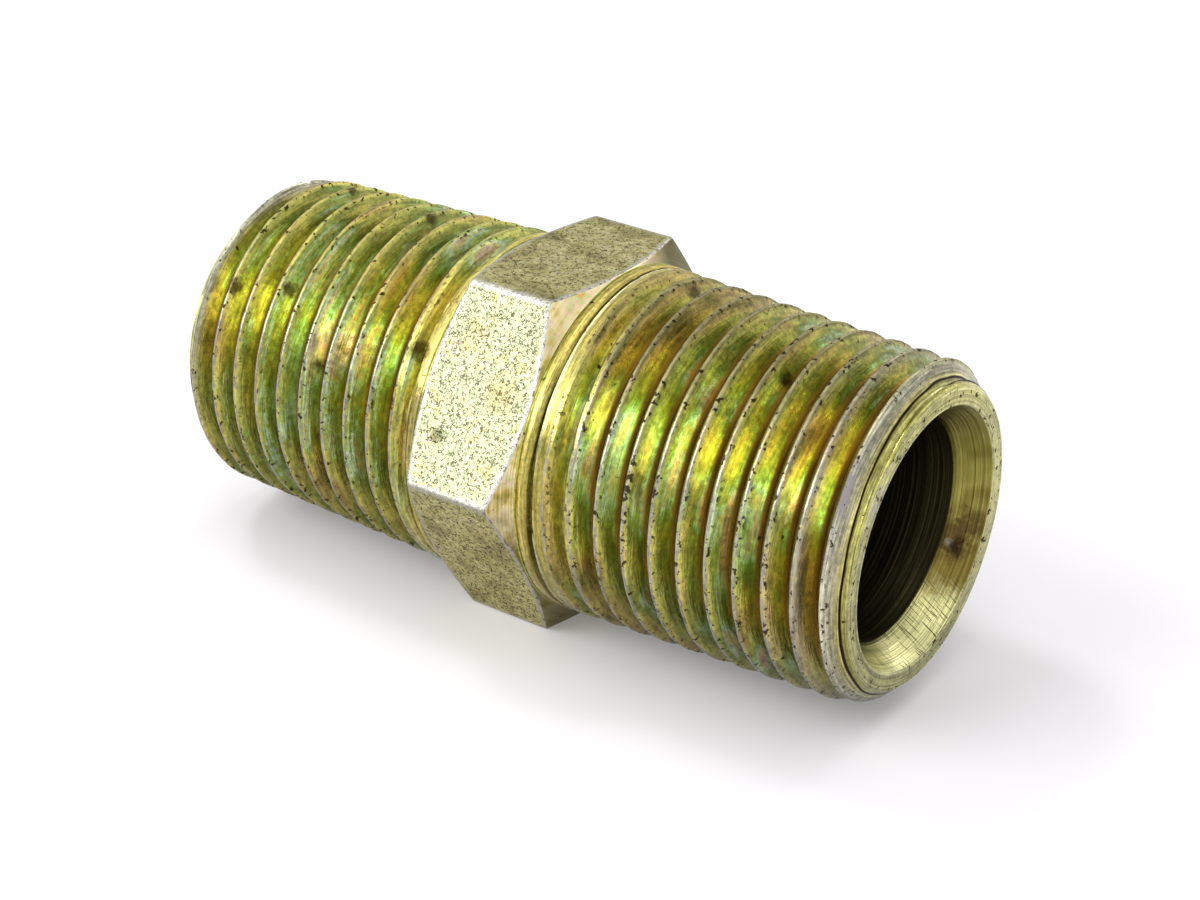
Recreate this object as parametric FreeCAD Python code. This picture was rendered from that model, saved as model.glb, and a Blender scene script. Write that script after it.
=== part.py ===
import FreeCAD, Part
import math
import os

# Hose connector: a double-ended male nipple turned from one hexagon bar.
# Both ends carry a right-hand taper pipe thread, a straight bore runs right
# through, and each mouth has a 60 degree cone that a hose tail seals on.
# Axis along X with the photographed (near) end at +X, hexagon flat down, +Z up,
# origin on the axis in the middle plane of the hexagon. Millimetres.

# Hexagon
acrossFlats = 21.8
hexWidth = 7.4
hexChamferAngle = 27.0
hexEdgeRadius = 0.35

# Ends, each measured from the middle of the hexagon to its end face
nearReach = 24.8
farReach = 23.4
endFaceDia = 17.9
endChamferAngle = 45.0

# Bore and cone seats
boreDia = 13.5
seatMouthDia = 15.9
seatAngle = 60.0

# Taper pipe thread, nominal half inch
turnsPerInch = 14
taperOnDiameter = 1.0 / 16.0
crestDiaAtEnd = 20.4
flankAngle = 60.0
crestFlat = 0.24
rootFlat = 0.16
# Where a crest crosses the top line, measured outward from the hexagon's middle
nearCrestOffset = 7.0
farCrestOffset = 7.9
# The groove starts to rise this far from the hexagon and is gone at runOutEnd
runOutStart = 3.5
runOutEnd = 0.45

pitch = 25.4 / turnsPerInch
halfFlank = math.radians(flankAngle / 2.0)
fullDepth = (pitch - crestFlat - rootFlat) / 2.0 / math.tan(halfFlank)
radialTaper = taperOnDiameter / 2.0
hexFace = hexWidth / 2.0
seatDepth = (seatMouthDia - boreDia) / 2.0 / math.tan(math.radians(seatAngle / 2.0))

# How far the groove cutter stands above the crests, and its smoothness
cutterRise = crestFlat / 4.0 / math.tan(halfFlank)
pointsPerTurn = 16
sewGap = 1e-5


def crestRadius(x, reach):
    return crestDiaAtEnd / 2.0 + (reach - x) * radialTaper


def hexPrism(length):
    cornerRadius = acrossFlats / 2.0 / math.cos(math.radians(30.0))
    corners = []
    for i in range(7):
        a = math.radians(60.0 * i)
        corners.append(FreeCAD.Vector(-length, cornerRadius * math.cos(a), cornerRadius * math.sin(a)))
    prism = Part.Face(Part.makePolygon(corners)).extrude(FreeCAD.Vector(2.0 * length, 0, 0))
    lengthwise = [e for e in prism.Edges if e.Length > 1.9 * length]
    return prism.makeFillet(hexEdgeRadius, lengthwise)


def turned(profile):
    # A closed outline of (x, radius) points, revolved round the X axis
    points = [FreeCAD.Vector(x, 0, r) for x, r in profile]
    points.append(points[0])
    face = Part.Face(Part.makePolygon(points))
    return face.revolve(FreeCAD.Vector(0, 0, 0), FreeCAD.Vector(1, 0, 0), 360.0)


def hexagonBlock():
    # The prism with both faces turned to a blunt cone, which runs on inside the stems
    slope = math.tan(math.radians(hexChamferAngle))
    outer = acrossFlats
    inner = boreDia / 2.0
    profile = []
    for side, reach in ((-1.0, farReach), (1.0, nearReach)):
        neck = crestRadius(hexFace, reach)
        radii = (inner, outer) if side < 0 else (outer, inner)
        profile += [(side * (hexFace - (r - neck) * slope), r) for r in radii]
    return hexPrism(hexWidth).common(turned(profile))


def blankStem(reach):
    # Stem out of the hexagon to one end face, on a taper, with the face's edge chamfered
    faceRadius = endFaceDia / 2.0
    slope = math.tan(math.radians(endChamferAngle))
    back = (crestDiaAtEnd / 2.0 - faceRadius) / (slope - radialTaper)
    return turned([
        (0.0, 0.0),
        (0.0, crestRadius(hexFace, reach)),
        (hexFace, crestRadius(hexFace, reach)),
        (reach - back, crestRadius(reach - back, reach)),
        (reach, faceRadius),
        (reach, 0.0),
    ])


def grooveDepth(x):
    # Full depth on the stem, rising evenly to nothing beside the hexagon
    fromHex = x - hexFace
    share = (fromHex - runOutEnd) / (runOutStart - runOutEnd)
    return fullDepth * min(1.0, share)


def threadGroove(reach, crestOffset):
    # One long V-shaped cutter that winds from the hexagon out past the end face.
    # Its section has four corners, and each corner follows a curve of its own.
    firstTurn = (hexFace + runOutEnd - cutterRise - crestOffset) / pitch - 0.5
    lastTurn = math.ceil((reach - crestOffset) / pitch + 0.5)
    steps = int((lastTurn - firstTurn) * pointsPerTurn)
    turns = [lastTurn - i / pointsPerTurn for i in range(steps, -1, -1)]
    paths = [[], [], [], []]
    for turn in turns:
        x = crestOffset + pitch * (turn + 0.5)
        rootRadius = crestRadius(x, reach) - grooveDepth(x)
        topRadius = crestRadius(x, reach) + cutterRise
        topHalf = rootFlat / 2.0 + (topRadius - rootRadius) * math.tan(halfFlank)
        section = [
            (-rootFlat / 2.0, rootRadius),
            (rootFlat / 2.0, rootRadius),
            (topHalf, topRadius),
            (-topHalf, topRadius),
        ]
        a = 2.0 * math.pi * turn
        for path, (shift, radius) in zip(paths, section):
            path.append(FreeCAD.Vector(x + shift, -radius * math.sin(a), radius * math.cos(a)))
    curves = []
    for path in paths:
        curve = Part.BSplineCurve()
        curve.interpolate(Points=path, Parameters=turns)
        curves.append(curve)
    # Faces end at every whole turn, and flat caps close both ends of the cutter
    breaks = turns[:1] + list(range(math.ceil(turns[0]), lastTurn + 1))
    faces = []
    for start, stop in zip(breaks, breaks[1:]):
        edges = [curve.toShape(start, stop) for curve in curves]
        faces += [Part.makeRuledSurface(edges[i], edges[(i + 1) % 4]) for i in range(4)]
    for turn in (turns[0], turns[-1]):
        corners = [curve.value(turn) for curve in curves]
        faces.append(Part.Face(Part.makePolygon(corners + corners[:1])))
    shell = Part.makeShell(faces)
    shell.sewShape(sewGap)
    groove = Part.makeSolid(shell)
    if groove.Volume < 0:
        groove.reverse()
    return groove


def threadedStem(reach, crestOffset):
    return blankStem(reach).cut(threadGroove(reach, crestOffset))


def boreAndSeats():
    boreRadius = boreDia / 2.0
    mouthRadius = seatMouthDia / 2.0
    return turned([
        (-farReach, 0.0),
        (-farReach, mouthRadius),
        (-farReach + seatDepth, boreRadius),
        (nearReach - seatDepth, boreRadius),
        (nearReach, mouthRadius),
        (nearReach, 0.0),
    ])


def connectorBody():
    near = threadedStem(nearReach, nearCrestOffset)
    far = threadedStem(farReach, farCrestOffset)
    far.rotate(FreeCAD.Vector(0, 0, 0), FreeCAD.Vector(0, 0, 1), 180.0)
    body = hexagonBlock().fuse(near).fuse(far)
    return body.cut(boreAndSeats()).removeSplitter()


os.makedirs("parts", exist_ok=True)
connectorBody().exportStep("parts/connector_body.step")
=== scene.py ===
import bmesh
import bpy
import math
import numpy as np
from mathutils import Matrix, Vector, noise


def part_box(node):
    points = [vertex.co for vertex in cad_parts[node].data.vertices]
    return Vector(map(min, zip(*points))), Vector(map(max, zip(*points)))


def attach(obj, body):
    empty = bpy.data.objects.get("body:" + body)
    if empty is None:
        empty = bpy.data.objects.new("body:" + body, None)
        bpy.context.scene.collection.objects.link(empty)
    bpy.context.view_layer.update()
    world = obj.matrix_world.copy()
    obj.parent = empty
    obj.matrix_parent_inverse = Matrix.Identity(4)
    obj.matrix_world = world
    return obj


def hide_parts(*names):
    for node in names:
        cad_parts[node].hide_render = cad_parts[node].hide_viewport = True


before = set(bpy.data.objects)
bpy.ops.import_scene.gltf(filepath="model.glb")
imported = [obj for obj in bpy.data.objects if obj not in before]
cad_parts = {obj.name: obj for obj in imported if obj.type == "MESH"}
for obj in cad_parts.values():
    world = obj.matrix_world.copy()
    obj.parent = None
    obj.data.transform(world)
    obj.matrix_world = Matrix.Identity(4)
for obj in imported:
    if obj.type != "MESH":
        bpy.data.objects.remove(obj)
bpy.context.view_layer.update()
mm = 0.001

lowCorner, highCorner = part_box("connector_body")
nearReach = highCorner[0] / mm
farReach = -lowCorner[0] / mm
apothem = highCorner[2] / mm
print("frame loaded, nipple", round(nearReach + farReach, 2), "mm long")


def hexColour(text):
    # sRGB hex to the linear values that Blender wants
    parts = [int(text[i:i + 2], 16) / 255.0 for i in (1, 3, 5)]
    linear = [c / 12.92 if c <= 0.04045 else ((c + 0.055) / 1.055) ** 2.4 for c in parts]
    return (*linear, 1.0)


def addNode(tree, kind, inputs=None, output=0, stops=(), **settings):
    # One node with its settings and links. An input takes a value, a hex colour or the socket
    # that feeds it, and the output that is asked for comes back. Inputs go by number where their
    # names repeat: MapRange has 0 value, 1 and 2 from, 3 and 4 to, a colour Mix 0 share, 6 and 7 colours.
    node = tree.nodes.new("ShaderNode" + kind)
    for name, value in settings.items():
        setattr(node, name, value)
    for name, value in (inputs or {}).items():
        if isinstance(value, bpy.types.NodeSocket):
            tree.links.new(value, node.inputs[name])
        else:
            node.inputs[name].default_value = hexColour(value) if isinstance(value, str) else value
    for i, (place, colour) in enumerate(stops):
        ramp = node.color_ramp.elements
        element = ramp[i] if i < len(ramp) else ramp.new(place)
        element.position = place
        element.color = hexColour(colour)
    return node.outputs[output] if len(node.outputs) else node


# Body of the nipple, in millimetres until the mesh is made

thread = {
    "turnsPerInch": 14,
    "flankAngle": 60,
    "radialTaper": 1 / 32,
    "crestRadiusAtEnd": 10.2,
    "fullDepth": 1.2246,
    "rootRounding": 0.10,
    "crestRounding": 0.055,
    "nearCrestOffset": 7.0,       # a crest crosses the top line here, from the hexagon's middle
    "farCrestOffset": 7.9,
    "nearRunOutStart": 3.5,       # the groove starts to rise this far from the hexagon
    "farRunOutStart": 2.0,
    "runOutEnd": 0.45,
}
neck = {
    # distance from the hexagon and how deep the turned step is there
    "steps": ((0, 0.03), (0.04, 0.05), (0.09, 0.05), (0.14, 0.02), (0.3, 0), (0.55, 0), (0.75, 0.01),
              (0.84, 0.03), (0.9, 0.11), (0.96, 0.11), (1.02, 0.02), (1.1, 0.01), (1.2, 0.03), (1.3, 0.0)),
}
hexagon = {
    "width": 7.4,
    "chamferAngle": 27.0,
    "cornerRadius": 0.35,
    "edgeRounding": 0.16,
    "mostRounded": 0.6,           # no more of the blunt cone's height than this is rounded off
    "wornEdge": 0.5,
    # the pale flat: partly paler plating, partly painted highlight
    "paleFlatAt": 60,             # degrees round from the top towards -Y
    "paleHalfWidth": 29.8,
    "paleFade": 0.3,
}
ends = {
    "faceRadius": 8.95,
    "mouthRadius": 7.95,
    "boreRadius": 6.75,
    "seatHalfAngle": 30.0,
    "edgeRounding": 0.05,
    "nearBrightEnd": 1.75,        # this much of the stem's end is rubbed bright
    "farBrightEnd": 1.9,
    "brightFade": 0.5,
    "chamferFade": 0.1,
}
wear = {
    "crestDepth": 0.07,
    "flatDepth": 0.015,
    "patchesPerMm": 1.3,
    "biteScale": 1.7,
    "swellScale": 0.35,
    "biteAbove": 0.1,             # noise above this bites into a crest
    "crestAbove": 0.8,            # and only this high up the thread
    "biteGain": 5,
    "clearance": 0.01,            # keeps the wear off the hexagon's faces and the stems' ends
}

pitch = 25.4 / thread["turnsPerInch"]
hexFace = hexagon["width"] / 2
flankSlope = 1 / math.tan(math.radians(thread["flankAngle"] / 2))
sideAngle = 60
halfSide = sideAngle / 2

# Angles round the axis in turns, closer together at the hexagon's corners
sector = [-30, -29.6, -29.2, -28.5, -27] + list(range(-25, 26, 2)) + [27, 28.5, 29.2, 29.6]
turns = np.array([sideAngle * k + a for k in range(6) for a in sector] + [360 - halfSide]) / 360

# Columns across one pitch, 0 is a crest's middle, closer together at crest and root
acrossPitch = (0, 0.05, 0.085, 0.14, 0.24, 0.35, 0.44, 0.5, 0.56, 0.65, 0.76, 0.86, 0.915, 0.95)

# Rows of the hexagon as shares of its cone, its rounded edge and its flat, and beside the edge in mm
coneShares = (0, 0.3, 0.65)
bendShares = (0, 0.3, 0.6, 1)
besideEdge = (0.12, 0.3)
flatShares = (0.25, 0.5, 0.75, 1)
edgeRow = len(coneShares) + 1     # the finishes meet here, on the rounded edge
rowsInside = 9                    # along each cone seat, and along the bore


def crestRadius(x, reach):
    return thread["crestRadiusAtEnd"] + (reach - x) * thread["radialTaper"]


def smallerOf(a, b, rounding):
    return (a + b - np.sqrt((a - b) ** 2 + rounding ** 2)) / 2


def stemRow(x, reach, crestOffset, runOutStart, brightEnd):
    # Radius at each angle, how high up the thread that is, which side of the crest, how fully the
    # thread is cut there (none on the neck and on the end's chamfer), and 1 on the rubbed end
    phase = (x - crestOffset) / pitch - turns
    across = phase - np.floor(phase)
    grooveX = x + (0.5 - across) * pitch
    stepAt, stepDepth = zip(*neck["steps"])
    fade = (grooveX - hexFace - thread["runOutEnd"]) / (runOutStart - thread["runOutEnd"])
    depth = thread["fullDepth"] * np.clip(fade, 0, 1)
    bottom = crestRadius(grooveX, reach) - depth
    rounding = thread["rootRounding"]
    flank = bottom + (np.sqrt((x - grooveX) ** 2 + rounding ** 2) - rounding) * flankSlope
    crest = crestRadius(x, reach)
    cut = np.where(depth > 0, smallerOf(crest, flank, thread["crestRounding"]), crest)
    chamfer = ends["faceRadius"] + reach - x
    radius = smallerOf(cut, chamfer, ends["edgeRounding"])
    radius = np.where(x <= hexFace, crest, radius - np.interp(x - hexFace, stepAt, stepDepth, right=0))
    height = np.clip(1 - (crest - cut) / thread["fullDepth"], 0, 1)
    onChamfer = np.clip((cut - chamfer) / ends["chamferFade"] + 0.5, 0, 1)
    tip = np.maximum(onChamfer, np.clip((x - reach + brightEnd) / ends["brightFade"], 0, 1))
    return x, radius, height, np.sin(2 * math.pi * across), np.clip(fade, 0, 1) * (1 - tip), tip


def stemRows(*stem):
    reach, crestOffset = stem[:2]
    first = math.floor((hexFace - crestOffset) / pitch) - 1
    last = math.ceil((reach - crestOffset) / pitch) + 1
    neckEnd = hexFace + neck["steps"][-1][0]
    rows = [stemRow(hexFace + away + 0 * turns, *stem) for away, depth in neck["steps"]]
    for n in range(first, last):
        for share in acrossPitch:
            x = crestOffset + pitch * (n + share + turns)
            rows.append(stemRow(np.clip(x, neckEnd, reach), *stem))
    return rows


def plainRow(x, radius):
    level = np.ones_like(turns)
    return x * level, radius * level, level, 0 * level, 0 * level, level


def hexagonRadius():
    # Distance from the axis to the hexagon's outline, with its six edges softened
    local = (turns * 360 + halfSide) % sideAngle - halfSide
    flat = apothem / np.cos(np.radians(local))
    corner = hexagon["cornerRadius"]
    halfAngle = math.radians(halfSide)
    centre = (apothem - corner) / math.cos(halfAngle)
    offCorner = np.radians(halfSide - np.abs(local))
    reach = np.maximum(corner ** 2 - (centre * np.sin(offCorner)) ** 2, 0)
    arc = centre * np.cos(offCorner) + np.sqrt(reach)
    tangent = math.atan2(corner / 2, centre + corner * math.cos(halfAngle))
    return np.where(offCorner < tangent, arc, flat)


def hexagonSide(reach, paleAt):
    # Rows from the neck out over the blunt cone, round its edge and along to the middle
    outline = hexagonRadius()
    neckRadius = crestRadius(hexFace, reach)
    slope = math.tan(math.radians(hexagon["chamferAngle"]))
    edgeX = hexFace - (outline - neckRadius) * slope
    bend = np.minimum(hexagon["edgeRounding"], (outline - neckRadius) * hexagon["mostRounded"])
    rows = []
    for share in coneShares:
        radius = neckRadius + (outline - bend - neckRadius) * share
        rows.append((hexFace - (radius - neckRadius) * slope, radius))
    for t in bendShares:
        # A short curve from the cone to the flat
        along, down = (1 - t) ** 2 * bend, t ** 2 * hexagon["edgeRounding"]
        rows.append((edgeX + along * slope - down, outline - along))
    straight = edgeX - hexagon["edgeRounding"]
    rows += [(straight - away, outline) for away in besideEdge]
    rows += [((straight - besideEdge[-1]) * (1 - share), outline) for share in flatShares]
    degrees = turns * 360
    fromCorner = np.radians(halfSide - np.abs((degrees + halfSide) % sideAngle - halfSide)) * outline
    offPale = np.abs((degrees - paleAt + 180) % 360 - 180)
    pale = np.clip((hexagon["paleHalfWidth"] - offPale) / hexagon["paleFade"], 0, 1)
    finished = []
    for x, radius in rows:
        fromEdge = np.hypot(edgeX - x, outline - radius)
        nearEdge = np.clip(1 - np.minimum(fromEdge, fromCorner) / hexagon["wornEdge"], 0, 1)
        finished.append((x, radius, nearEdge, pale, fromCorner < fromEdge, 0 * turns))
    return finished


def mouthRows(reach):
    # Flat end face, then the cone seat down to the bore
    face, mouth, bore = ends["faceRadius"], ends["mouthRadius"], ends["boreRadius"]
    tiny = ends["edgeRounding"]
    slope = 1 / math.tan(math.radians(ends["seatHalfAngle"]))
    annulus = [plainRow(reach, r) for r in (face - tiny / 2, (face + mouth) / 2, mouth + tiny)]
    cone = [plainRow(reach - (mouth - r) * slope, r) for r in np.linspace(mouth - tiny, bore, rowsInside)]
    return annulus, cone


points, places, tips, faces, slots = [], [], [], [], []
threadSlot, flatSlot, turnedSlot, seatSlot, boreSlot = range(5)


def addSurface(rows, slot, side=1):
    # side -1 turns the rows half round about the upright line, onto the far stem; on the thread
    # a place is (height, side of the crest, fullness), on the hexagon (nearness to its edge, pale,
    # whether the nearest edge runs lengthwise)
    base, count = sum(len(p) for p in points), len(turns)
    angle = 2 * math.pi * turns
    for x, radius, height, across, full, tip in rows:
        points.append(np.stack([side * x, -side * radius * np.sin(angle), radius * np.cos(angle)], 1))
        places.append(np.stack([height, across, full], 1))
        tips.append(tip)
    for i in range(len(rows) - 1):
        for j in range(count - 1):
            p = base + i * count + j
            faces.append((p, p + 1, p + count + 1, p + count))
            slots.append(slot)


nearAnnulus, nearCone = mouthRows(nearReach)
farAnnulus, farCone = mouthRows(farReach)
nearStem = stemRows(nearReach, thread["nearCrestOffset"], thread["nearRunOutStart"], ends["nearBrightEnd"])
farStem = stemRows(farReach, thread["farCrestOffset"], thread["farRunOutStart"], ends["farBrightEnd"])
nearSide = hexagonSide(nearReach, hexagon["paleFlatAt"])
farSide = hexagonSide(farReach, -hexagon["paleFlatAt"])

addSurface(nearStem + nearAnnulus[:1], threadSlot)
addSurface(farStem + farAnnulus[:1], threadSlot, -1)
for side, rows in ((1, nearSide), (-1, farSide)):
    addSurface(rows[:edgeRow + 1], turnedSlot, side)
    addSurface(rows[edgeRow:], flatSlot, side)
for side, annulus, cone in ((1, nearAnnulus, nearCone), (-1, farAnnulus, farCone)):
    addSurface(annulus + cone[:1], threadSlot, side)
    addSurface(cone, seatSlot, side)
boreStart, boreEnd = nearCone[-1][0][0], -farCone[-1][0][0]
addSurface([plainRow(x, ends["boreRadius"]) for x in np.linspace(boreStart, boreEnd, rowsInside)], boreSlot)

points = np.concatenate(points)
places = np.concatenate(places)
tips = np.concatenate(tips)
print("surface worked out,", len(points), "points")


def wornPoint(point, height):
    # Crests lose a little metal here and there, and the hexagon's faces are never quite flat
    x, y, z = point
    perMm = wear["patchesPerMm"]
    spot = Vector((x * perMm, y * perMm, z * perMm))
    if abs(x) > hexFace + wear["clearance"]:
        bite = max(0, noise.noise(spot * wear["biteScale"]) - wear["biteAbove"])
        bite = bite * max(0, height - wear["crestAbove"]) * wear["biteGain"]
        return 1 - wear["crestDepth"] * bite / math.hypot(y, z)
    swell = 0.5 + 0.5 * noise.noise(spot * wear["swellScale"])
    return 1 - wear["flatDepth"] * swell / apothem


weldDistance = 2e-6               # these two in metres
leastEdge = 1e-7
sharpAngle = 40

mesh = bpy.data.meshes.new("connectorBodySkin")
mesh.from_pydata(points * mm, [], faces)
placeLayer = mesh.attributes.new("threadPlace", "FLOAT_VECTOR", "POINT")
placeLayer.data.foreach_set("vector", places.astype(np.float32).ravel())
tipLayer = mesh.attributes.new("endChamfer", "FLOAT", "POINT")
tipLayer.data.foreach_set("value", tips.astype(np.float32))
mesh.polygons.foreach_set("material_index", slots)

work = bmesh.new()
work.from_mesh(mesh)
bmesh.ops.remove_doubles(work, verts=work.verts, dist=weldDistance)
bmesh.ops.dissolve_degenerate(work, edges=work.edges, dist=leastEdge)
heightLayer = work.verts.layers.float_vector["threadPlace"]
for vertex in work.verts:
    radial = math.hypot(vertex.co.y, vertex.co.z) / mm
    if radial > ends["faceRadius"] + 2 * wear["clearance"]:
        scale = wornPoint(vertex.co / mm, vertex[heightLayer][0])
        vertex.co.y *= scale
        vertex.co.z *= scale
bmesh.ops.recalc_face_normals(work, faces=work.faces)
work.to_mesh(mesh)
work.free()
mesh.shade_smooth()
mesh.set_sharp_from_angle(angle=math.radians(sharpAngle))
skin = bpy.data.objects.new("connectorBodySkin", mesh)
bpy.context.scene.collection.objects.link(skin)
print("skin made,", len(mesh.polygons), "faces")


# Finishes. Every pattern is laid out in millimetres, on the object's own coordinates.

patterns = {
    "noiseRoughness": 0.6,
    "ringDrift": 0.12,            # how much the rings change across the part, per mm
    "pitStrayScale": 3,           # how finely and how far a pit's outline strays, in its own cells
    "pitStray": 0.4,
    "pitEdge": 0.06,
    "spotStray": 1.5,
    "spotCore": 0.35,
    "unevenLumps": (0.5, 0.5, 0.5),
}


def startMaterial(name):
    material = bpy.data.materials.new(name)
    material.use_nodes = True
    tree = material.node_tree
    tree.nodes.clear()
    metres = addNode(tree, "TexCoord", output="Object")
    return material, tree, addNode(tree, "VectorMath", {0: metres, 1: (1 / mm,) * 3}, operation="MULTIPLY")


def finishMaterial(material, tree, colour, roughness, relief, depth):
    # relief from 0 to 1 stands for a depth in millimetres
    bump = addNode(tree, "Bump", {"Height": relief, "Distance": depth * mm, "Strength": 1.0})
    shader = addNode(tree, "BsdfPrincipled", {
        "Base Color": colour, "Metallic": 1.0, "Roughness": roughness, "Normal": bump})
    addNode(tree, "OutputMaterial", {"Surface": shader})
    return material


def surfacePlaces(tree):
    place = addNode(tree, "Attribute", output="Vector", attribute_name="threadPlace")
    return addNode(tree, "SeparateXYZ", {0: place}).node.outputs


def weightedSum(tree, *shares):
    total = 0.0
    for value, weight in shares:
        total = addNode(tree, "Math", {0: value, 1: weight, 2: total}, operation="MULTIPLY_ADD")
    return total


def product(tree, *values):
    total = values[0]
    for value in values[1:]:
        total = addNode(tree, "Math", {0: total, 1: value}, operation="MULTIPLY")
    return total


def lumps(tree, inMm, size, detail=2.0):
    # Soft noise; its lumps are this wide along X, Y and Z
    stretched = addNode(tree, "VectorMath", {0: inMm, 1: [1 / s for s in size]}, operation="MULTIPLY")
    return addNode(tree, "TexNoise", {
        "Vector": stretched, "Scale": 1.0, "Detail": detail, "Roughness": patterns["noiseRoughness"]})


def fromAxis(tree, inMm):
    across = addNode(tree, "VectorMath", {0: inMm, 1: (0, 1, 1)}, operation="MULTIPLY")
    return addNode(tree, "VectorMath", {0: across}, 1, operation="LENGTH")


def turningRings(tree, inMm, spacing):
    # A turning tool's marks change along the axis and away from it, and hardly round it
    x, y, z = addNode(tree, "SeparateXYZ", {0: inMm}).node.outputs
    distance = fromAxis(tree, inMm)
    joined = addNode(tree, "CombineXYZ", {
        0: product(tree, x, 1 / spacing),
        1: product(tree, distance, 1 / spacing),
        2: product(tree, y, patterns["ringDrift"])})
    return addNode(tree, "TexNoise", {
        "Vector": joined, "Scale": 1.0, "Detail": 3.0, "Roughness": patterns["noiseRoughness"]})


def raggedPits(tree, inMm, spacing, share, width):
    # At most one pit in each cell of this spacing; share is how many of the cells have one
    stray = addNode(tree, "TexNoise", {"Vector": inMm, "Scale": patterns["pitStrayScale"] / spacing}, 1)
    far = (patterns["pitStray"] * spacing,) * 3
    moved = addNode(tree, "VectorMath", {0: stray, 1: far, 2: inMm}, operation="MULTIPLY_ADD")
    cells = addNode(tree, "TexVoronoi", {"Vector": moved, "Scale": 1 / spacing}).node.outputs
    number = addNode(tree, "SeparateColor", {0: cells["Color"]})
    radius = addNode(tree, "MapRange", {0: number, 1: 1 - share, 2: 1.0, 3: 0.0, 4: width / 2 / spacing})
    inside = weightedSum(tree, (radius, 1), (cells["Distance"], -1))
    return addNode(tree, "MapRange", {0: inside, 1: 0.0, 2: patterns["pitEdge"]})


def softSpots(tree, inMm, uneven, spots):
    # Uneven spots, each with its place, radius and strength
    total = 0.0
    stray = patterns["spotStray"]
    for x, y, z, radius, strength in spots:
        away = addNode(tree, "VectorMath", {0: inMm, 1: (x, y, z)}, 1, operation="DISTANCE")
        ragged = weightedSum(tree, (away, 1 / radius), (uneven, stray), (1.0, -stray / 2))
        near = addNode(tree, "MapRange", {0: ragged, 1: 1.0, 2: patterns["spotCore"]})
        total = addNode(tree, "Math", {0: near, 1: strength, 2: total}, operation="MULTIPLY_ADD")
    return total


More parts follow.
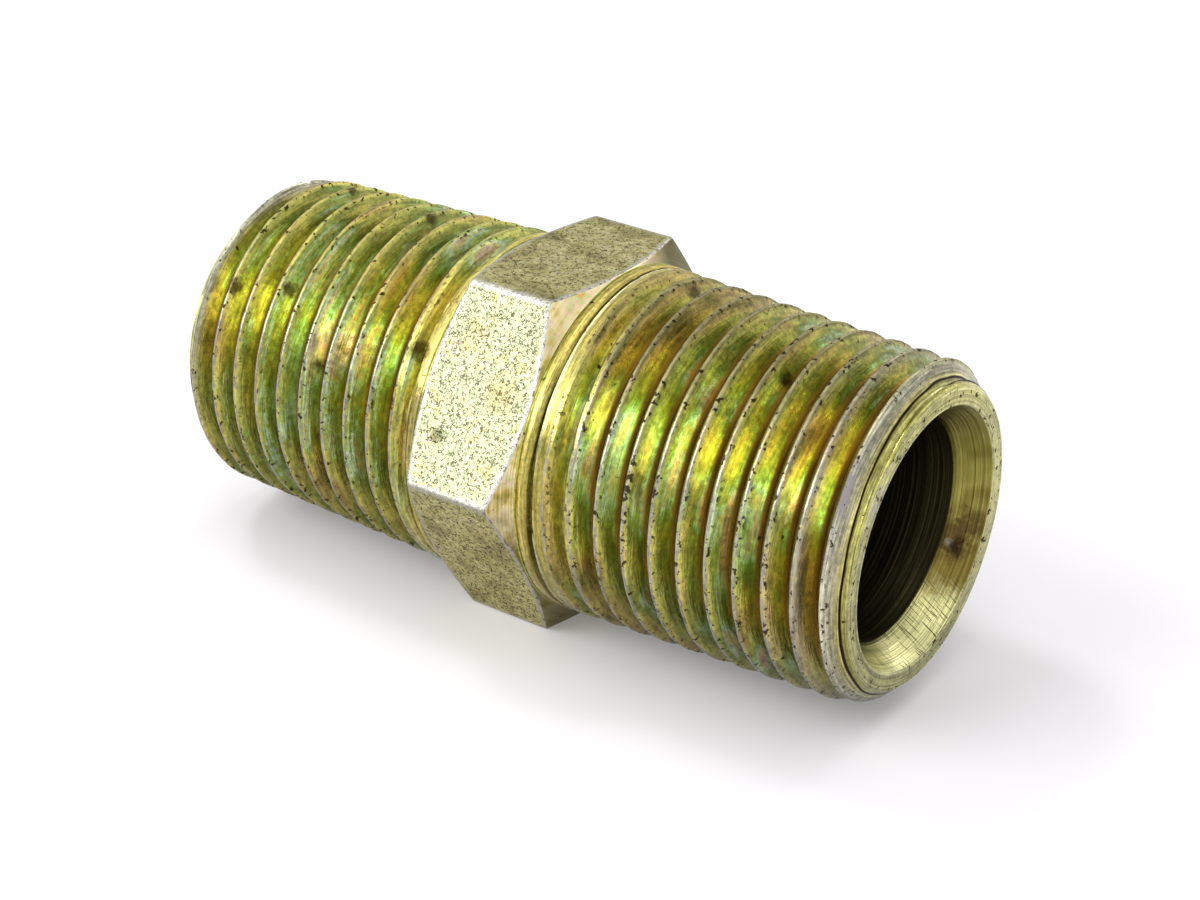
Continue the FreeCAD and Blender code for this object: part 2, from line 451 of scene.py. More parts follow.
# Zinc-plated steel with a yellow chromate dip: a thin film over bright metal, which mirrors the
# surroundings in olive, gold, orange, green and mint from patch to patch.
# In this and the next dictionaries a range such as {1: 4, 2: -8, 3: 1, 4: 0.4} says from, to and
# what these two values become, 0 and 1 if nothing is said.
chromate = {
    "film": ((0.0, "#6a6230"), (0.16, "#958a4a"), (0.25, "#c4ab64"), (0.34, "#cfbb66"), (0.43, "#d2ca68"),
             (0.52, "#b9ba5f"), (0.6, "#a2a552"), (0.67, "#a6c067"), (0.73, "#c6dcb4"), (0.79, "#cfc878"),
             (0.88, "#d2b79c"), (1.0, "#857a44")),
    "filmShares": {"patch": 1.2, "blotch": 0.9, "streak": 0.7, "height": -0.22, "level": -0.8},
    "patch": (7, 7, 7),
    "blotch": (1.4, 5.5, 5.5),
    "streak": (0.26, 8, 8),
    "cutMark": (0.13, 1.8, 1.8),      # the thread tool's feed, too fine to draw any closer
    "grain": (0.2, 0.35, 0.35),
    "markLevel": 0.6,
    "markTone": {1: 0.38, 2: 0.62, 3: 0.62, 4: 1.2},
    "zones": ((14.7, -9.4, 4.6, 4.0, 0.14), (20.8, -8.0, 6.5, 3.5, -0.08), (22.2, -10.0, 2.4, 3.0, -0.12),
              (17.5, -1.0, 10.2, 7.0, 0.2), (-14.0, -8.5, 2.0, 8.0, 0.17)),
    # the far stem is calmer, and its film runs on over most of the neck
    "farStem": {1: -3.0, 2: -6.0},
    "farCalm": 0.5,
    "farNeckFilm": 0.7,
    # painted shade: the thread is darker lower down, from higher up on the far stem
    "farTopDrop": -0.12,
    "farAndLowShade": {1: 0.2, 2: 0.6, 3: 1.0, 4: 0.88},
    "hexSide": {1: -0.2, 2: -0.8, 3: 0.0, 4: 0.2},
    # painted shade, darker on the underside and on top by z, both strongest in the roots
    "underShade": {1: 4.0, 2: -8.0, 3: 1.0, 4: 0.43},
    "topShade": {1: 6.0, 2: 10.0, 3: 1.0, 4: 0.66},
    "rootPower": 2.1,
    "crestPowerLoss": 1.7,
    "tipShare": 0.6,
    "onTop": {1: 5.0, 2: 9.0},
    # the grey on top of the crests is painted shade; their lost gloss is wear from handling
    "handledAndShaded": "#787249",
    "topCrestShadeHeight": {1: 0.8, 2: 0.95, 4: 0.85},
    "topCrestShadeFarLoss": 0.8,
    "nearCrest": "#ada292",
    "nearCrestAlong": {1: 19.0, 2: 22.5},
    "nearCrestHeight": {1: 0.45, 2: 0.8, 4: 0.6},
    "root": "#8c702e",
    "rootHeight": {1: 0.22, 2: 0.1},
    "rootMiddle": "#6a5426",
    "rootMiddleHeight": {1: 0.08, 2: 0.02},
    "lilacAt": ((23.6, -7.7, 6.2, 2.6, 0.9), (22.6, -9.9, 3.0, 1.6, 0.5)),
    "lilac": "#9d969a",
    "lilacHeight": {1: 0.75, 2: 0.9},
    "bareCrest": "#b0ad98",
    "bareStray": {"grain": 1.1, "uneven": 0.8, "level": -0.95},
    "bareWidth": {1: 0.4, 2: 0.26},
    "bareHeight": {1: 0.9, 2: 0.97},
    "bareTopLoss": 0.8,
    "nick": (0.3, 0.4, 0.4),
    "nickedAt": ((11.3, -9.9, 3.6, 1.8, 0.1), (11.5, -10.6, 0.6, 1.4, 0.08), (19.5, -9.5, 3.0, 2.0, 0.05),
                 (-14, -7, 4, 10, -0.03)),
    "nickTipLoss": 0.02,
    "nickEdge": {1: 0.595, 2: 0.63},
    "nickHeight": {1: 0.7, 2: 0.9},
    "pits": ((0.8, 0.22, 0.3), (0.45, 0.2, 0.15)),      # spacing, share and width of each sort
    "pit": "#2a1c10",
    "pitStrength": 0.9,
    "stains": ((-20.1, -7.85, 6.3, 0.75, 1), (-16.3, -7.1, 6.85, 0.65, 1), (-18.7, 1.75, 10.15, 0.7, 1),
               (-11.3, 0.55, 10.3, 0.7, 1), (-5.0, -8.4, 6.4, 1.0, 1), (-12.4, -9.1, 3.6, 0.55, 1),
               (7.4, 1.8, 9.9, 0.9, 1), (16.9, -3.2, 8.9, 0.7, 1)),
    "stain": "#33240f",
    "stainStrength": 0.85,
    "roughness": 0.25,
    "darkRoughness": 0.35,
    "handledRoughness": 0.3,
    "glossLossHeight": {1: 0.8, 2: 0.95},
    "markRelief": 0.8,
    "ringRelief": 0.3,
    "depth": 0.035,
}
# Neck beside the hexagon by distance from its face, and end chamfer by distance from the axis
turnedBands = {
    "neckStart": 3.7,
    "neckWidth": 1.4,
    "neckStray": 0.1,
    # the dark stops at 0.61 to 0.7 lie in the neck's deeper turned step: painted shade
    "neck": ((0.0, "#9fae54"), (0.06, "#a8a850"), (0.09, "#7d7634"), (0.14, "#bfae58"), (0.35, "#d6c870"),
             (0.57, "#a99645"), (0.61, "#463d1c"), (0.7, "#463d1c"), (0.75, "#ddd6a0"), (0.9, "#c8bd80"),
             (1.0, "#b0a350")),
    "tipStart": 7.95,
    "tipWidth": 2.25,
    "tipStray": 0.2,
    "tip": ((0.0, "#c6c48e"), (0.1, "#b2ae70"), (0.36, "#bebb78"), (0.43, "#dedb9c"), (0.5, "#c8c46e"),
            (0.55, "#b3ab60"), (0.57, "#2c2410"), (0.61, "#2c2410"), (0.63, "#ece294"), (0.68, "#cac284"),
            (0.74, "#b4af88"), (0.8, "#aaa48a"), (0.86, "#b8b498"), (0.92, "#c6c3aa"), (1.0, "#cfccb6")),
    # a thin torn line runs round the end chamfer
    "burrAt": 0.59,
    "burrWidth": {1: 0.03, 2: 0.015},
    "burrGaps": {1: 0.4, 2: 0.5},
    "ringSpacing": 0.12,
    "ringTone": {1: 0.38, 2: 0.62, 3: 0.52, 4: 1.25},
}


def turnedBandColour(tree, inMm, tip, blotch):
    # Colour of the neck and of the end chamfer, both with the tool's fine rings
    rings = turningRings(tree, inMm, turnedBands["ringSpacing"])
    x = addNode(tree, "Math", {0: addNode(tree, "SeparateXYZ", {0: inMm})}, operation="ABSOLUTE")
    start, width, stray = (turnedBands[name] for name in ("neckStart", "neckWidth", "neckStray"))
    onNeck = weightedSum(tree, (x, 1 / width), (1.0, -start / width), (blotch, stray), (1.0, -stray / 2))
    start, width, stray = (turnedBands[name] for name in ("tipStart", "tipWidth", "tipStray"))
    onTip = weightedSum(tree, (fromAxis(tree, inMm), 1 / width), (1.0, -start / width), (blotch, stray),
                        (1.0, -stray / 2))
    neckColour = addNode(tree, "ValToRGB", {0: onNeck}, stops=turnedBands["neck"])
    tipColour = addNode(tree, "ValToRGB", {0: onTip}, stops=turnedBands["tip"])
    colour = addNode(tree, "Mix", {0: tip, 6: neckColour, 7: tipColour}, 2, data_type="RGBA")
    shade = addNode(tree, "MapRange", {0: rings, **turnedBands["ringTone"]})
    colour = addNode(tree, "Mix", {0: 1.0, 6: colour, 7: shade}, 2, data_type="RGBA", blend_type="MULTIPLY")
    offBurr = weightedSum(tree, (onTip, 1), (1.0, -turnedBands["burrAt"]))
    offBurr = addNode(tree, "Math", {0: offBurr}, operation="ABSOLUTE")
    burr = product(tree, addNode(tree, "MapRange", {0: offBurr, **turnedBands["burrWidth"]}), tip,
                   addNode(tree, "MapRange", {0: rings, **turnedBands["burrGaps"]}))
    return colour, rings, burr


def chromatedThread():
    # A cut and plated thread: silvery broken wear on the crests, brown roots, small rust-brown pits
    material, tree, inMm = startMaterial("yellowChromatedZincThread")
    high, side, full = surfacePlaces(tree)
    tip = addNode(tree, "Attribute", output="Fac", attribute_name="endChamfer")
    patch = lumps(tree, inMm, chromate["patch"], 1.0)
    blotch = lumps(tree, inMm, chromate["blotch"])
    streak = lumps(tree, inMm, chromate["streak"], 3.0)
    cuts = lumps(tree, inMm, chromate["cutMark"])
    grain = lumps(tree, inMm, chromate["grain"], 3.0)
    uneven = lumps(tree, inMm, patterns["unevenLumps"])
    zones = softSpots(tree, inMm, uneven, chromate["zones"])
    x, y, z = addNode(tree, "SeparateXYZ", {0: inMm}).node.outputs
    onFarStem = addNode(tree, "MapRange", {0: x, **chromate["farStem"]})
    hexSide = addNode(tree, "MapRange", {0: side, **chromate["hexSide"]})
    calm = chromate["farCalm"]
    blotch = weightedSum(tree, (blotch, 1), (product(tree, onFarStem, blotch), -calm),
                         (onFarStem, calm / 2))
    shares = chromate["filmShares"]
    film = weightedSum(tree, (patch, shares["patch"]), (blotch, shares["blotch"]),
                       (streak, shares["streak"]), (high, shares["height"]), (zones, 1.0),
                       (product(tree, hexSide, high), 1.0), (1.0, shares["level"]))
    colour = addNode(tree, "ValToRGB", {0: film}, stops=chromate["film"])
    bands, rings, burr = turnedBandColour(tree, inMm, tip, blotch)
    onNeck = chromate["farNeckFilm"]
    filmed = weightedSum(tree, (full, -onNeck), (tip, -onNeck), (1.0, onNeck))
    filmed = weightedSum(tree, (product(tree, onFarStem, filmed), 1), (full, 1))
    colour = addNode(tree, "Mix", {0: filmed, 6: bands, 7: colour}, 2, data_type="RGBA")

    level = chromate["markLevel"]
    marks = weightedSum(tree, (cuts, level), (grain, level), (1.0, 0.5 - level))
    # painted shade: darker low down and high up, and most in the roots
    under = addNode(tree, "MapRange", {0: z, **chromate["underShade"]})
    above = addNode(tree, "MapRange", {0: z, **chromate["topShade"]})
    power = weightedSum(tree, (high, -chromate["crestPowerLoss"]), (1.0, chromate["rootPower"]))
    grooveShade = addNode(tree, "Math", {0: product(tree, under, above), 1: power}, operation="POWER")
    shadeReach = weightedSum(tree, (full, 1), (tip, chromate["tipShare"]))
    # painted shade lower down, most on the far stem
    farTop = weightedSum(tree, (onFarStem, 1), (z, chromate["farTopDrop"]))
    tone = product(tree, addNode(tree, "MapRange", {0: marks, **chromate["markTone"]}),
                   weightedSum(tree, (product(tree, grooveShade, shadeReach), 1), (shadeReach, -1), (1.0, 1)),
                   addNode(tree, "MapRange", {0: farTop, **chromate["farAndLowShade"]}))

    # on top the flanks are painted grey towards the crest, a painted shade, and near the end they turn
    # pinkish there
    onTop = addNode(tree, "MapRange", {0: z, **chromate["onTop"]})
    topCrestShade = product(tree, onTop, addNode(tree, "MapRange", {0: high, **chromate["topCrestShadeHeight"]}),
                   weightedSum(tree, (onFarStem, -chromate["topCrestShadeFarLoss"]), (1.0, 1.0)), full)
    colour = addNode(tree, "Mix", {0: topCrestShade, 6: colour, 7: chromate["handledAndShaded"]}, 2, data_type="RGBA")
    pink = product(tree, addNode(tree, "MapRange", {0: x, **chromate["nearCrestAlong"]}),
                   addNode(tree, "MapRange", {0: high, **chromate["nearCrestHeight"]}), full)
    colour = addNode(tree, "Mix", {0: pink, 6: colour, 7: chromate["nearCrest"]}, 2, data_type="RGBA")
    colour = addNode(tree, "Mix", {0: 1.0, 6: colour, 7: tone}, 2, data_type="RGBA", blend_type="MULTIPLY")
    for name in ("root", "rootMiddle"):
        line = product(tree, addNode(tree, "MapRange", {0: high, **chromate[name + "Height"]}), full)
        colour = addNode(tree, "Mix", {0: line, 6: colour, 7: chromate[name]}, 2, data_type="RGBA")
    lilac = product(tree, softSpots(tree, inMm, uneven, chromate["lilacAt"]),
                    addNode(tree, "MapRange", {0: high, **chromate["lilacHeight"]}))
    colour = addNode(tree, "Mix", {0: lilac, 6: colour, 7: chromate["lilac"]}, 2, data_type="RGBA")

    # the bare line on a crest comes and goes, and is nowhere even
    stray = chromate["bareStray"]
    offCrest = addNode(tree, "Math", {0: side}, operation="ABSOLUTE")
    offCrest = weightedSum(tree, (offCrest, 1.0), (grain, stray["grain"]), (uneven, stray["uneven"]),
                           (1.0, stray["level"]))
    # on top the bare line mostly gives way, which is painted shade as well
    bare = product(tree, addNode(tree, "MapRange", {0: offCrest, **chromate["bareWidth"]}),
                   addNode(tree, "MapRange", {0: high, **chromate["bareHeight"]}), full,
                   weightedSum(tree, (onTop, -chromate["bareTopLoss"]), (1.0, 1.0)))
    bareColour = addNode(tree, "Mix", {0: 1.0, 6: chromate["bareCrest"], 7: tone}, 2, data_type="RGBA",
                         blend_type="MULTIPLY")
    colour = addNode(tree, "Mix", {0: bare, 6: colour, 7: bareColour}, 2, data_type="RGBA")

    nicked = softSpots(tree, inMm, uneven, chromate["nickedAt"])
    nicks = weightedSum(tree, (lumps(tree, inMm, chromate["nick"]), 1.0), (nicked, 1.0),
                        (tip, -chromate["nickTipLoss"]))
    nicks = product(tree, addNode(tree, "MapRange", {0: nicks, **chromate["nickEdge"]}),
                    addNode(tree, "MapRange", {0: high, **chromate["nickHeight"]}),
                    weightedSum(tree, (full, 1), (tip, 1)))
    large, small = (raggedPits(tree, inMm, *sort) for sort in chromate["pits"])
    dark = addNode(tree, "Math", {0: large, 1: small}, operation="MAXIMUM")
    for other in (nicks, burr):
        dark = addNode(tree, "Math", {0: dark, 1: other}, operation="MAXIMUM")
    stains = softSpots(tree, inMm, uneven, chromate["stains"])
    for name, mask in (("pit", dark), ("stain", stains)):
        strength = product(tree, mask, chromate[name + "Strength"])
        colour = addNode(tree, "Mix", {0: strength, 6: colour, 7: chromate[name]}, 2, data_type="RGBA")

    # handled crests have lost their gloss
    handledAndShaded = product(tree, onTop, addNode(tree, "MapRange", {0: high, **chromate["glossLossHeight"]}))
    roughness = weightedSum(tree, (dark, chromate["darkRoughness"]),
                            (handledAndShaded, chromate["handledRoughness"]), (1.0, chromate["roughness"]))
    relief = weightedSum(tree, (marks, chromate["markRelief"]), (rings, chromate["ringRelief"]))
    return finishMaterial(material, tree, colour, roughness, relief, chromate["depth"])


# The hexagon's flats are the drawn bar's own skin under the plating: matt, pitted and full of short curled
# marks, which are weaker on the one pale flat. That flat faces the key lamp; its paleness is partly its own
# plating and partly painted highlight.
barSkin = {
    "olive": ((0.3, "#8b8450"), (0.42, "#a1995f"), (0.5, "#ada66a"), (0.58, "#b8b280"), (0.68, "#a6a060"),
              (0.8, "#bdb47c")),
    "pale": ((0.3, "#b6b692"), (0.4, "#bec3a2"), (0.48, "#b9c496"), (0.54, "#c5c8a8"), (0.6, "#c8c188"),
             (0.67, "#c5c5ae"), (0.75, "#c8b494")),
    "tint": (2.2, 2.2, 2.2),
    "fineTint": (0.6, 0.6, 0.6),
    "tintShares": (1.1, 0.4, -0.25),
    "orangeAt": ((1.5, -9.24, 5.79, 1.5, 0.45), (3.3, -7.2, 8.4, 0.9, 0.4), (-1.6, -7.6, 8.2, 1.1, 0.3)),
    "orange": "#d0b06c",
    "streak": (0.8, 0.13, 0.13),
    "peel": (0.22, 0.22, 0.22),
    "streakShare": 0.4,
    "tone": {1: 0.38, 2: 0.62, 3: 0.72, 4: 1.22},
    "paleToneLoss": 0.3,
    "paleFlatHighlightLift": 0.24,
    "heightLightAndShade": {1: -8.0, 2: 8.0, 3: 1.14, 4: 0.93},
    "smudges": ((-1.8, -10.93, 2.88, 0.75, 1.0), (2.9, -5.6, 10.9, 0.6, 0.3)),
    "smudgeStrength": 1.1,
    "curl": (0.21, 0.21, 0.21),
    "curlEdge": 0.1,
    "paleCurlEdgeLoss": 0.045,
    "curlCore": 0.025,
    "short": (0.25, 0.25, 0.25),
    "shortInSmudge": 0.1,
    "shortEdge": {1: 0.48, 2: 0.54},
    "dots": (0.25, 0.35, 0.13),       # spacing, share and width
    "coarseDots": (0.45, 0.55, 0.24),
    "coarseLevel": 0.9,
    "coarsePaleLoss": 0.8,
    "markLevel": 0.95,
    "markPaleLoss": 0.15,
    "mark": "#3a3014",
    "paleMark": "#5c5530",
    "specks": (0.4, 0.3, 0.14),
    "speckStrength": 0.8,
    "goldSpeck": "#e0d8a8",
    "wornEdge": "#a5a399",
    "paleWornEdge": "#d3d2cb",
    "wear": (0.5, 0.5, 0.5),
    "wearStray": 1.4,
    "wearFrom": {1: 0.3, 2: 0.75, 3: 0.0, 4: 0.9},
    "chip": (0.35, 0.35, 0.35),
    "chipEdge": {1: 0.52, 2: 0.6},
    "chipNearEdge": {1: 0.7, 2: 0.95},
    "chipLevel": 0.9,
    "chipLengthwiseLoss": 0.7,
    "roughness": 0.42,
    "markRoughness": 0.6,
    "curlRelief": -0.7,
    "depth": 0.06,
}


def drawnBarFlat():
    material, tree, inMm = startMaterial("yellowChromatedBarFlat")
    nearEdge, pale, lengthwise = surfacePlaces(tree)
    coarse, fine, level = barSkin["tintShares"]
    tint = weightedSum(tree, (lumps(tree, inMm, barSkin["tint"]), coarse),
                       (lumps(tree, inMm, barSkin["fineTint"]), fine), (1.0, level))
    olive = addNode(tree, "ValToRGB", {0: tint}, stops=barSkin["olive"])
    paler = addNode(tree, "ValToRGB", {0: tint}, stops=barSkin["pale"])
    uneven = lumps(tree, inMm, patterns["unevenLumps"])
    orange = softSpots(tree, inMm, uneven, barSkin["orangeAt"])
    paler = addNode(tree, "Mix", {0: orange, 6: paler, 7: barSkin["orange"]}, 2, data_type="RGBA")
    colour = addNode(tree, "Mix", {0: pale, 6: olive, 7: paler}, 2, data_type="RGBA")
    streak = lumps(tree, inMm, barSkin["streak"], 3.0)
    peel = lumps(tree, inMm, barSkin["peel"], 3.0)
    tone = weightedSum(tree, (streak, barSkin["streakShare"]), (peel, 1 - barSkin["streakShare"]))
    tone = addNode(tree, "MapRange", {0: tone, **barSkin["tone"]})
    # the pale flat is lifted, partly painted highlight
    tone = weightedSum(tree, (tone, 1.0), (product(tree, pale, tone), -barSkin["paleToneLoss"]),
                       (pale, barSkin["paleFlatHighlightLift"]))
    # painted light and shade: the lower flats lighter, the top flat darker
    height = addNode(tree, "SeparateXYZ", {0: inMm}).node.outputs[2]
    tone = product(tree, tone, addNode(tree, "MapRange", {0: height, **barSkin["heightLightAndShade"]}))
    colour = addNode(tree, "Mix", {0: 1.0, 6: colour, 7: tone}, 2, data_type="RGBA", blend_type="MULTIPLY")

    # curled marks are the middle values of one noise, cut to short lengths by another
    smudge = softSpots(tree, inMm, uneven, barSkin["smudges"])
    curl = weightedSum(tree, (lumps(tree, inMm, barSkin["curl"], 1.0), 1.0), (1.0, -0.5))
    curl = addNode(tree, "Math", {0: curl}, operation="ABSOLUTE")
    curlEdge = weightedSum(tree, (pale, -barSkin["paleCurlEdgeLoss"]), (1.0, barSkin["curlEdge"]))
    curl = addNode(tree, "MapRange", {0: curl, 1: curlEdge, 2: barSkin["curlCore"]})
    short = weightedSum(tree, (lumps(tree, inMm, barSkin["short"], 1.0), 1.0),
                        (smudge, barSkin["shortInSmudge"]))
    curl = product(tree, curl, addNode(tree, "MapRange", {0: short, **barSkin["shortEdge"]}))
    # the darker flats carry coarser pits as well
    fewer = weightedSum(tree, (pale, -barSkin["coarsePaleLoss"]), (1.0, barSkin["coarseLevel"]))
    coarse = product(tree, raggedPits(tree, inMm, *barSkin["coarseDots"]), fewer)
    marks = raggedPits(tree, inMm, *barSkin["dots"])
    for other in (coarse, curl):
        marks = addNode(tree, "Math", {0: marks, 1: other}, operation="MAXIMUM")
    weaker = weightedSum(tree, (pale, -barSkin["markPaleLoss"]), (1.0, barSkin["markLevel"]))
    marks = weightedSum(tree, (product(tree, marks, weaker), 1.0),
                        (product(tree, smudge, peel), barSkin["smudgeStrength"]))
    markColour = addNode(tree, "Mix", {0: pale, 6: barSkin["mark"], 7: barSkin["paleMark"]}, 2,
                         data_type="RGBA")
    colour = addNode(tree, "Mix", {0: marks, 6: colour, 7: markColour}, 2, data_type="RGBA")
    speck = product(tree, raggedPits(tree, inMm, *barSkin["specks"]), barSkin["speckStrength"])
    colour = addNode(tree, "Mix", {0: speck, 6: colour, 7: barSkin["goldSpeck"]}, 2, data_type="RGBA")

    stray = barSkin["wearStray"]
    rubbed = weightedSum(tree, (nearEdge, 1.0), (lumps(tree, inMm, barSkin["wear"], 3.0), stray),
                         (1.0, -stray / 2))
    rubbed = addNode(tree, "MapRange", {0: rubbed, **barSkin["wearFrom"]})
    worn = addNode(tree, "Mix", {0: pale, 6: barSkin["wornEdge"], 7: barSkin["paleWornEdge"]}, 2,
                   data_type="RGBA")
    colour = addNode(tree, "Mix", {0: rubbed, 6: colour, 7: worn}, 2, data_type="RGBA")
    # the edges that the turning tool left are chipped
    chips = lumps(tree, inMm, barSkin["chip"])
    chips = product(tree, addNode(tree, "MapRange", {0: nearEdge, **barSkin["chipNearEdge"]}),
                    addNode(tree, "MapRange", {0: chips, **barSkin["chipEdge"]}),
                    weightedSum(tree, (lengthwise, -barSkin["chipLengthwiseLoss"]),
                                (1.0, barSkin["chipLevel"])))
    colour = addNode(tree, "Mix", {0: chips, 6: colour, 7: chromate["pit"]}, 2, data_type="RGBA")
    roughness = addNode(tree, "MapRange", {0: marks, 3: barSkin["roughness"], 4: barSkin["markRoughness"]})
    relief = weightedSum(tree, (peel, 1.0), (curl, barSkin["curlRelief"]))
    return finishMaterial(material, tree, colour, roughness, relief, barSkin["depth"])


# Turned faces keep the tool's fine rings, which the plating tints gold, peach and green.
turned = {
    "tints": ((0.3, "#b9a854"), (0.4, "#e8d384"), (0.48, "#f6e0ac"), (0.54, "#f4e8b2"), (0.6, "#f8d6b6"),
              (0.67, "#d8de9e"), (0.75, "#e8bc66")),
    "tint": (1.6, 1.6, 1.6),
    "tintShares": (1.2, 0.3, -0.25),
    "ringSpacing": 0.14,
    "ringTone": {1: 0.35, 2: 0.65, 3: 0.88, 4: 1.1},
    "dots": (0.35, 0.5, 0.2),         # spacing, share and width
    "dotStrength": 0.7,
    "orangeDots": "#c08a3e",
    # painted shade lies on the lower half and at the back
    "lowAndBackShade": "#55501f",
    "shadeLumps": (0.9, 0.9, 0.9),
    "shadeShares": (-0.17, 1.6, -0.45),
    "shadeEdge": {1: 0.0, 2: 1.0, 3: 0.0, 4: 0.85},
    "shadeBehind": {1: 1.0, 2: 5.0, 4: 0.95},
    "pits": (0.9, 0.25, 0.28),
    "pitRelief": -0.6,
    "roughness": 0.3,
    "depth": 0.03,
}


def turnedFace():
    material, tree, inMm = startMaterial("yellowChromatedTurnedFace")
    x, y, z = addNode(tree, "SeparateXYZ", {0: inMm}).node.outputs
    rings = turningRings(tree, inMm, turned["ringSpacing"])
    coarse, fine, level = turned["tintShares"]
    tint = weightedSum(tree, (lumps(tree, inMm, turned["tint"]), coarse), (rings, fine), (1.0, level))
    colour = addNode(tree, "ValToRGB", {0: tint}, stops=turned["tints"])
    dots = product(tree, raggedPits(tree, inMm, *turned["dots"]), turned["dotStrength"])
    colour = addNode(tree, "Mix", {0: dots, 6: colour, 7: turned["orangeDots"]}, 2, data_type="RGBA")
    # painted shade, darker on the lower half and at the back
    slope, stray, level = turned["shadeShares"]
    under = lumps(tree, inMm, turned["shadeLumps"], 3.0)
    under = weightedSum(tree, (z, slope), (under, stray), (1.0, level))
    under = addNode(tree, "MapRange", {0: under, **turned["shadeEdge"]})
    behind = addNode(tree, "MapRange", {0: y, **turned["shadeBehind"]})
    lowAndBackShade = addNode(tree, "Math", {0: under, 1: behind}, operation="MAXIMUM")
    colour = addNode(tree, "Mix", {0: lowAndBackShade, 6: colour, 7: turned["lowAndBackShade"]}, 2, data_type="RGBA")
    tone = addNode(tree, "MapRange", {0: rings, **turned["ringTone"]})
    colour = addNode(tree, "Mix", {0: 1.0, 6: colour, 7: tone}, 2, data_type="RGBA", blend_type="MULTIPLY")
    pits = raggedPits(tree, inMm, *turned["pits"])
    colour = addNode(tree, "Mix", {0: pits, 6: colour, 7: chromate["pit"]}, 2, data_type="RGBA")
    relief = weightedSum(tree, (rings, 1.0), (pits, turned["pitRelief"]))
    return finishMaterial(material, tree, colour, turned["roughness"], relief, turned["depth"])


# The cone seats were bored clean: dull gold with close rings from the tool, browned in one place, and
# painted paler low down, a painted highlight.
seat = {
    "tints": ((0.3, "#645826"), (0.42, "#827738"), (0.52, "#99914c"), (0.6, "#8d853e"), (0.72, "#6c6028")),
    "tint": (4, 4, 4),
    "tintShares": (1.0, 0.2, -0.1),
    "ringSpacing": 0.11,
    "ringTone": {1: 0.35, 2: 0.65, 3: 0.5, 4: 1.2},
    "paintedLowHighlight": "#dcd99c",
    "lowBelow": {1: -4.5, 2: -7.0},
    "goldAt": ((23.3, 5.6, -4.5, 2.6, 0.7), (24.2, 6.2, -4.4, 2.2, 0.6)),
    "gold": "#85753a",
    "brownAt": ((22.6, 6.4, -2.6, 1.5, 0.9), (24.1, 7.1, -2.4, 1.3, 0.9), (23.4, 6.2, -3.6, 1.3, 0.8)),
    "brown": "#62512c",
    "hairline": (1.6, 0.09, 1.6),
    "hairlineEdge": {1: 0.62, 2: 0.66},
    "pits": (0.9, 0.25, 0.2),         # spacing, share and width
    "holeAt": ((23.51, 6.28, -3.6, 0.7, 1.0),),
    "chipAt": ((23.2, 6.15, -3.42, 0.36, 0.8),),
    "chip": "#aaa692",
    "darkStrength": 0.9,
    "darkRelief": -0.6,
    "roughness": 0.3,
    "depth": 0.04,
}


def boredSeat():
    material, tree, inMm = startMaterial("yellowChromatedBoredSeat")
    rings = turningRings(tree, inMm, seat["ringSpacing"])
    coarse, fine, level = seat["tintShares"]
    tint = weightedSum(tree, (lumps(tree, inMm, seat["tint"]), coarse), (rings, fine), (1.0, level))
    colour = addNode(tree, "ValToRGB", {0: tint}, stops=seat["tints"])
    height = addNode(tree, "SeparateXYZ", {0: inMm}).node.outputs[2]
    # painted highlight: the seat is paler low down
    low = addNode(tree, "MapRange", {0: height, **seat["lowBelow"]})
    colour = addNode(tree, "Mix", {0: low, 6: colour, 7: seat["paintedLowHighlight"]}, 2, data_type="RGBA")
    uneven = lumps(tree, inMm, patterns["unevenLumps"])
    for name in ("gold", "brown"):
        spots = softSpots(tree, inMm, uneven, seat[name + "At"])
        colour = addNode(tree, "Mix", {0: spots, 6: colour, 7: seat[name]}, 2, data_type="RGBA")
    tone = addNode(tree, "MapRange", {0: rings, **seat["ringTone"]})
    colour = addNode(tree, "Mix", {0: 1.0, 6: colour, 7: tone}, 2, data_type="RGBA", blend_type="MULTIPLY")
    hairs = lumps(tree, inMm, seat["hairline"], 1.0)
    hairs = product(tree, addNode(tree, "MapRange", {0: hairs, **seat["hairlineEdge"]}), low)
    dark = raggedPits(tree, inMm, *seat["pits"])
    for other in (hairs, softSpots(tree, inMm, uneven, seat["holeAt"])):
        dark = addNode(tree, "Math", {0: dark, 1: other}, operation="MAXIMUM")
    chip = softSpots(tree, inMm, uneven, seat["chipAt"])
    colour = addNode(tree, "Mix", {0: chip, 6: colour, 7: seat["chip"]}, 2, data_type="RGBA")
    strength = product(tree, dark, seat["darkStrength"])
    colour = addNode(tree, "Mix", {0: strength, 6: colour, 7: chromate["pit"]}, 2, data_type="RGBA")
    relief = weightedSum(tree, (rings, 1.0), (dark, seat["darkRelief"]))
    return finishMaterial(material, tree, colour, seat["roughness"], relief, seat["depth"])


# Inside the bore the plating is thin, brown and oily, with the drill's rings; its near-black is partly
# painted shade.
bore = {
    "light": "#4c4730",
    "dark": "#2a2718",
    "ringSpacing": 0.24,
    "ringEdge": {1: 0.42, 2: 0.68},
    "roughness": 0.45,
    "depth": 0.05,
}


def drilledBore():
    material, tree, inMm = startMaterial("thinlyPlatedShadedBore")
    rings = turningRings(tree, inMm, bore["ringSpacing"])
    share = addNode(tree, "MapRange", {0: rings, **bore["ringEdge"]})
    colour = addNode(tree, "Mix", {0: share, 6: bore["dark"], 7: bore["light"]}, 2, data_type="RGBA")
    return finishMaterial(material, tree, colour, bore["roughness"], rings, bore["depth"])


# in the order of the slots
for make in (chromatedThread, drawnBarFlat, turnedFace, boredSeat, drilledBore):
    mesh.materials.append(make())
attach(skin, "root")
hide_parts("connector_body")
print("finishes made")


# Studio: pale floor, white surroundings, soft lamps and the photograph's viewpoint

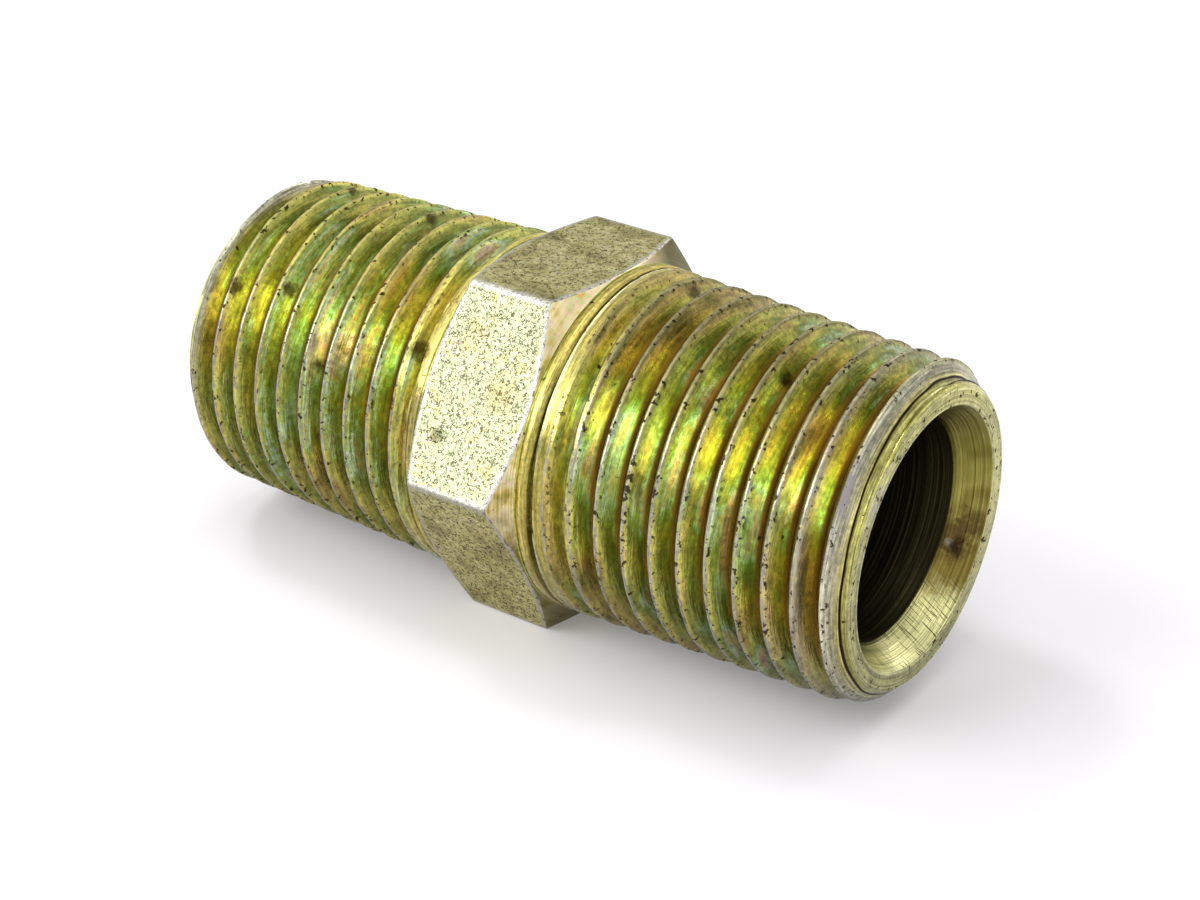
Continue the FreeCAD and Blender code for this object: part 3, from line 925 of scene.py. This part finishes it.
studio = {
    "floorColour": "#e8e6ea",
    "floorGlow": 0.16,            # lifts the floor towards the white behind it, in the picture alone
    "floorSize": 8.0,
    "surroundings": 0.55,         # what the white room gives to matt surfaces
}


def seenInPicture(tree):
    # 1 for what the camera sees itself or in metal or glass
    rays = addNode(tree, "LightPath").node.outputs
    seen = addNode(tree, "Math", {0: rays["Is Camera Ray"], 1: rays["Is Glossy Ray"]}, operation="MAXIMUM")
    return addNode(tree, "Math", {0: seen, 1: rays["Is Transmission Ray"]}, operation="MAXIMUM")


def paleFloor():
    # Matt pale paper, which takes a soft shadow and mirrors nothing
    size = studio["floorSize"] / 2
    z = lowCorner[2]
    corners = [(-size, -size, z), (size, -size, z), (size, size, z), (-size, size, z)]
    plane = bpy.data.meshes.new("floor")
    plane.from_pydata(corners, [], [(0, 1, 2, 3)])
    floor = bpy.data.objects.new("floor", plane)
    bpy.context.scene.collection.objects.link(floor)
    material = bpy.data.materials.new("paleStudioFloor")
    material.use_nodes = True
    tree = material.node_tree
    tree.nodes.clear()
    matt = addNode(tree, "BsdfDiffuse", {"Color": studio["floorColour"]})
    glow = addNode(tree, "Emission", {"Strength": product(tree, seenInPicture(tree), studio["floorGlow"])})
    both = addNode(tree, "AddShader", {0: matt, 1: glow})
    addNode(tree, "OutputMaterial", {"Surface": both})
    plane.materials.append(material)


def whiteRoom():
    world = bpy.data.worlds.new("whiteRoom")
    bpy.context.scene.world = world
    world.use_nodes = True
    tree = world.node_tree
    tree.nodes.clear()
    strength = addNode(tree, "MapRange", {0: seenInPicture(tree), 3: studio["surroundings"], 4: 1.0})
    back = addNode(tree, "Background", {"Color": "#ffffff", "Strength": strength})
    addNode(tree, "OutputWorld", {"Surface": back})


# azimuth and elevation are where the lamp stands, seen from the nipple; sizes in metres
lamps = (
    {"name": "keyLamp", "azimuth": -34, "elevation": 36, "distance": 0.6, "size": 0.38, "watts": 2.0},
    {"name": "topLamp", "azimuth": 60, "elevation": 78, "distance": 0.7, "size": 0.5, "watts": 1.1},
    {"name": "upperLamp", "azimuth": -98, "elevation": 57, "distance": 0.6, "size": 0.13, "watts": 0.7},
    {"name": "backLamp", "azimuth": 176, "elevation": 28, "distance": 0.6, "size": 0.25, "watts": 0.7},
)


def standingAt(azimuth, elevation, distance):
    a, e = math.radians(azimuth), math.radians(elevation)
    return Vector((math.sin(a) * math.cos(e), -math.cos(a) * math.cos(e), math.sin(e))) * distance


def hangLamp(lamp):
    light = bpy.data.lights.new(lamp["name"], "AREA")
    light.size = lamp["size"]
    light.energy = lamp["watts"]
    holder = bpy.data.objects.new(lamp["name"], light)
    holder.location = standingAt(lamp["azimuth"], lamp["elevation"], lamp["distance"])
    holder.rotation_euler = holder.location.to_track_quat("Z", "Y").to_euler()
    bpy.context.scene.collection.objects.link(holder)


view = {
    "lookAt": (1.94, 0.36, -1.56),    # millimetres, like the distance
    "azimuth": 34.53,
    "elevation": 27.26,
    "distance": 152.9,
    "roll": 1.3,
    "lens": 74.68,
    "sensorWidth": 36,
    "clipStart": 0.005,               # metres
}


def placeCamera():
    camera = bpy.data.cameras.new("photographView")
    camera.lens = view["lens"]
    camera.sensor_width = view["sensorWidth"]
    camera.clip_start = view["clipStart"]
    holder = bpy.data.objects.new("photographView", camera)
    away = standingAt(view["azimuth"], view["elevation"], view["distance"])
    turn = away.to_track_quat("Z", "Y").to_matrix().to_4x4()
    turn = turn @ Matrix.Rotation(math.radians(view["roll"]), 4, "Z")
    holder.matrix_world = Matrix.Translation((away + Vector(view["lookAt"])) * mm) @ turn
    bpy.context.scene.collection.objects.link(holder)
    bpy.context.scene.camera = holder


paleFloor()
whiteRoom()
for lamp in lamps:
    hangLamp(lamp)
placeCamera()
bpy.context.scene.view_settings.view_transform = "Standard"
print("studio ready")
